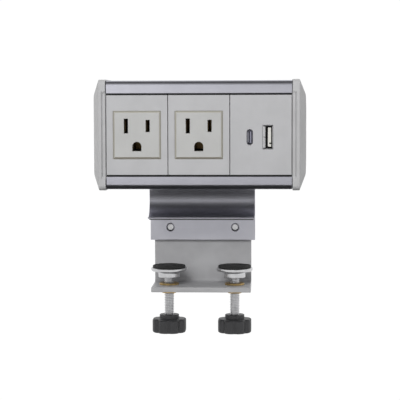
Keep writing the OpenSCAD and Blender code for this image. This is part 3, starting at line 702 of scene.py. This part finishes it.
tongue = join([
    plate_with_edges("usb_a_blade", USB_A, (0.0, 1.2, -5.55), (1.9, 11.5, 5.55), 0.25),
    plate_with_edges("usb_a_base", USB_A, (-2.45, 11.4, -6.45), (2.45, 13.9, 6.45), 0.3)])
combine(tongue, turned("usb_a_dimple", [(0.52, 0.5), (0.52, 9.0)],
                       point_in(USB_A, 1.3, 0, -3.6), "Y", segments=20))
stand_for(soften(tongue), "usb_a_tongue", "tongue_plastic")

# Contact spring, seen from above: (x, y)
SPRING = ((0.02, 2.4), (-0.2, 2.9), (-0.34, 5.2), (-0.3, 11.3), (0.02, 11.3))
springs = [loft("usb_a_springs", [[point_in(USB_A, x, y, z + h) for x, y in SPRING]
                                  for h in (-0.5, 0.5)]) for z in (-3.5, -1, 1, 3.5)]
stand_for(soften(join(springs), 0.03), "usb_a_contacts")

shell = join([
    tube("usb_c_case", USB_C, 1.7, 4.5, 1.69, WALL, 0.5, PORT_END),
    plate_with_edges("usb_c_shield", USB_C, (-1.5, 0.9, -3.1), (-0.45, 8, 3.1), 0.1)])
stand_for(soften(shell), "usb_c_shell")
tongue = join([
    plate_with_edges("usb_c_blade", USB_C, (0.15, 1.0, -3.3), (0.95, 9, 3.3), 0.2),
    plate_with_edges("usb_c_base", USB_C, (-1.25, 8.9, -4.05), (1.25, 13.9, 4.05), 1.1)])
stand_for(soften(tongue), "usb_c_tongue", "port_metal")


# ---- gland, jaw screws and bushings ---------------------------------------------------

def heights(name):
    """Bottom and top of a node, in millimetres."""
    low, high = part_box(name)
    return low.z / MM, high.z / MM


def depths(name):
    """Front and back of a node, in millimetres."""
    low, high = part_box(name)
    return low.y / MM, high.y / MM


def hexagon(radius, angle):
    """Six flats outside the round middle."""
    round_r = 8.5
    if radius < round_r:
        return radius
    return radius * math.cos(math.pi / 6) / math.cos(angle % (math.pi / 3) - math.pi / 6)


def knurl(teeth, reach, depth):
    """Shape with teeth round it, on radii from reach outwards."""
    def shaped(radius, angle):
        if radius < reach:
            return radius
        return radius - depth * (1 + math.cos(teeth * angle)) / 2
    return shaped


THREAD_OUT = 8.0
THREAD_IN = 7.55
HEX_R = 10.5
MOUTH_R = 4.0
front, back = depths("cord_gland")
centre = (GLAND[0], 0, GLAND[1])
line = [(4.6, front), (7.4, front), (THREAD_OUT, front + 0.6)]
y = front + 1.2
while y < back - 10.2:
    line += [(THREAD_OUT, y), (THREAD_IN, y + 0.25), (THREAD_IN, y + 0.4),
             (THREAD_OUT, y + 0.65)]
    y += 1.1
line += [(THREAD_OUT, back - 9.2), (9.4, back - 9.0), (10.1, back - 9.0), (HEX_R, back - 8.6),
         (HEX_R, back - 6.5), (10.0, back - 6.0), (8.0, back - 5.9), (8.0, back - 2.2),
         (7.6, back - 0.9), (6.6, back - 0.1), (5.2, back), (4.3, back - 0.5),
         (MOUTH_R, back - 1.4), (MOUTH_R, front + 0.8)]
gland = turned("gland_body", line, centre, "Y", closed=True, segments=120,
               shape=knurl(24, 9.3, 0.3))
stand_for(soften(gland), "cord_gland")

front, back = depths("gland_nut")
bore_r, nut_r = 8.05, 11.2
line = [(bore_r, front + 0.4), (8.5, front), (9.7, front), (nut_r, front + 0.7),
        (nut_r, back - 0.1), (11.1, back), (bore_r, back)]
stand_for(soften(turned("gland_hex_nut", line, centre, "Y", closed=True, segments=72,
                        shape=hexagon)), "gland_nut")


def jaw_screw(side, front, back):
    """Button head screw with grooves at its tip for a thread and a six-sided key hole."""
    centre = (side * JAW_SCREW[0], 0, JAW_SCREW[1])
    shank_r, groove_r, key_r = 2.43, 2.1, 1.7
    head = back - 2.6
    line = [(1.7, front), (2.4, front + 0.6)]
    y = front + 0.9
    while y < front + 4:
        line += [(shank_r, y), (groove_r, y + 0.25), (shank_r, y + 0.5)]
        y += 0.7
    line += [(shank_r, head), (4.55, head), (4.75, head + 0.25), (4.6, head + 0.9),
             (4.1, head + 1.7), (3.2, head + 2.3), (2.2, back), (0.9, back)]
    key = [(key_r, head + 0.8), (key_r, back - 0.25), (2.1, back + 0.3)]
    return combine(turned("jaw_screw", line, centre, "Y"),
                   turned("jaw_key", key, centre, "Y", segments=6))


front, back = depths("jaw_screws")
screws = join([jaw_screw(side, front, back) for side in (-1, 1)])
stand_for(soften(screws), "jaw_screws")

low, high = heights("jaw_bushings")
bore_r, sleeve_r, flange_r, flange_t = 3.05, 4.5, 6.0, 1.2
line = [(bore_r, low + 0.4), (3.4, low), (4.2, low), (sleeve_r, low + 0.3),
        (sleeve_r, high - flange_t), (5.8, high - flange_t), (flange_r, high - 1.0),
        (flange_r, high - 0.2), (5.8, high), (3.4, high), (bore_r, high - 0.35)]
bushings = [turned("jaw_bushing", line, (side * CLAMP_X, CLAMP_Y, 0), closed=True, segments=96,
                   shape=knurl(32, 5.5, 0.15)) for side in (-1, 1)]
stand_for(soften(join(bushings)), "jaw_bushings")

refine("neck_set_screws", 0.1)
for name, width in (("usb_board", 0.0), ("usb_transformer", 0.4), ("usb_capacitors", 0.5),
                    ("usb_chips", 0.12), ("usb_back_cover", 0.3), ("usb_board_screws", 0.1),
                    ("left_terminal_screws", 0.08), ("middle_terminal_screws", 0.08),
                    ("live_wires", 0.0), ("neutral_wires", 0.0), ("ground_wires", 0.0),
                    ("terminal_block", 0.3)):
    refine(name, width)


# ---- clamp ------------------------------------------------------------------------

def threaded_rod(name, centre, z0, z1, pitch=1.0, depth=0.5, n=28):
    """Screw with a helical thread. Rows follow the helix, and the ends are cut square."""
    # (part of a turn, depth of the cut there)
    phases = ((0.0, 0.0), (0.14, 0.0), (0.42, depth), (0.58, depth), (0.86, 0.0))
    crest_r = THREAD_R - 0.02
    rows = len(phases)
    turns = int((z1 - z0) / pitch) + 3
    points, faces = [], []
    for j in range(turns * rows + 1):
        part, cut = phases[j % rows]
        for k in range(n):
            a = 2 * math.pi * k / n
            z = z0 - 2 * pitch + (j // rows + part + k / n) * pitch
            r = crest_r - cut
            points.append((centre[0] + r * math.cos(a), centre[1] + r * math.sin(a), z))
    for j in range(turns * rows):
        for k in range(n - 1):
            faces.append((j * n + k, j * n + k + 1, (j + 1) * n + k + 1, (j + 1) * n + k))
    for j in range(rows, turns * rows):
        a, b = (j - rows) * n + n - 1, j * n
        faces.append((a, b, b + n, a + n))
    mesh = bpy.data.meshes.new(name)
    mesh.from_pydata([Vector(p) * MM for p in points], [], faces)
    edit = bmesh.new()
    edit.from_mesh(mesh)
    bmesh.ops.remove_doubles(edit, verts=edit.verts, dist=SAME_POINT)
    for z, up in ((z0, -1), (z1, 1)):
        bmesh.ops.bisect_plane(edit, geom=edit.verts[:] + edit.edges[:] + edit.faces[:],
                               dist=1e-8, plane_co=(0, 0, z * MM), plane_no=(0, 0, up),
                               clear_outer=True)
        rim = [e for e in edit.edges if e.is_boundary
               and all(abs(v.co.z - z * MM) < SAME_POINT for v in e.verts)]
        bmesh.ops.contextual_create(edit, geom=rim)
    bmesh.ops.recalc_face_normals(edit, faces=edit.faces)
    edit.to_mesh(mesh)
    edit.free()
    return add_object(name, mesh)


def fluted(radius, angle):
    """Eight rounded flutes round the knob, fading towards its axis."""
    wave = (1 + math.cos(8 * angle)) / 2
    return radius - 1.35 * wave ** 3 * min(radius / KNOB_R, 1) ** 4


KNOB_R = 10.5
PAD_R = 11.0
RUBBER_R = 10.0
RIB_DEPTH = 0.35

for side, word in ((-1, "left"), (1, "right")):
    centre = (side * CLAMP_X, CLAMP_Y, 0)
    bottom, top = heights(word + "_clamp_screw")
    rod = threaded_rod(word + "_clamp_rod", centre, bottom, top)
    stand_for(soften(rod, angle=50), word + "_clamp_screw")

    bottom, top = heights(word + "_clamp_knob")
    collar_r, shoulder = 6.0, top - 2.5
    line = round_corners([(3.03, top - 8.4), (3.03, top), (collar_r, top), (collar_r, shoulder),
                          (KNOB_R, shoulder), (KNOB_R, bottom), (6.6, bottom),
                          (6.2, bottom + 0.5), (3.4, bottom + 0.5), (0.9, bottom + 0.45)],
                         [0.2, 0.5, 0.4, 1.3, 1.5, 0.3, 0.4, 0.3], 4)
    knob = turned(word + "_clamp_handle", line, centre, segments=96, shape=fluted)
    stand_for(soften(knob), word + "_clamp_knob")

    bottom, top = heights(word + "_clamp_pad")
    socket_r, hub_r = 3.08, 6.5
    line = round_corners([(socket_r, bottom + 5), (socket_r, bottom), (hub_r, bottom),
                          (hub_r, bottom + 3.4), (10.6, top - 2.0), (PAD_R, top - 1.2),
                          (PAD_R, top), (0.9, top)],
                         [0.3, 0.6, 1.0, 0.5, 0.4, 0.35], 4)
    pad = turned(word + "_clamp_foot", line, centre, segments=64)
    stand_for(soften(pad), word + "_clamp_pad")

    bottom, top = heights(word + "_pad_rubber")
    line = [(0.9, bottom), (RUBBER_R - 0.3, bottom), (RUBBER_R, bottom + 0.3),
            (RUBBER_R, top - RIB_DEPTH), (9.65, top)]
    for r in (8.2, 6.2, 4.2):
        line += [(r + 0.5, top), (r + 0.25, top - RIB_DEPTH), (r - 0.25, top - RIB_DEPTH),
                 (r - 0.5, top)]
    line.append((0.9, top))
    rubber = turned(word + "_ribbed_rubber", line, centre, segments=64)
    stand_for(soften(rubber), word + "_pad_rubber")


# ---- finishes of the CAD nodes, and the view -------------------------------------------

for name, node in nodes.items():
    for entry in node.material_slots:
        entry.material = finish_of[slot_of[name]]

scene.view_settings.view_transform = "Standard"
